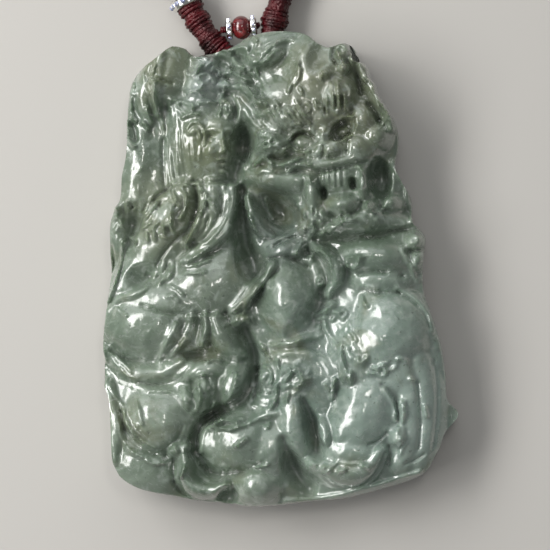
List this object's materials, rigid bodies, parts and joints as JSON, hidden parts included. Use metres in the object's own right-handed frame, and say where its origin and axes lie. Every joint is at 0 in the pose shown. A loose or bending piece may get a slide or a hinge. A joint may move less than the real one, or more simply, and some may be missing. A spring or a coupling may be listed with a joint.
{
  "type": "carved jade pendant on a neck cord",
  "caption": "Carved jade slab showing a seated Guanyin beside a guardian beast, flat at the back, on a thick thread-wound cord loop that passes through its top edge.",
  "frame": {"origin": "under the middle of the jade, on the surface that its flat back rests on", "axes": "+X to the right of the carving, +Y to its top edge, +Z out of its carved front"},
  "size_m": [0.1844, 0.167, 0.0155],
  "materials": {
    "jade": "polished, slightly translucent",
    "core_thread": "matt",
    "winding_thread": "satin thread",
    "sleeve": "matt",
    "silver": "polished",
    "bead": "polished"
  },
  "bodies": {
    "root": {"jade_pendant": "jade", "neck_cord": "core_thread", "cord_winding_left": "winding_thread", "cord_winding_right": "winding_thread", "closing_sleeve": "sleeve", "strand_ring_left": "silver", "strand_ring_right": "silver", "centre_bead": "bead", "bead_ring_left": "silver", "bead_ring_right": "silver", "bead_thread": "winding_thread"}
  },
  "joints": []
}
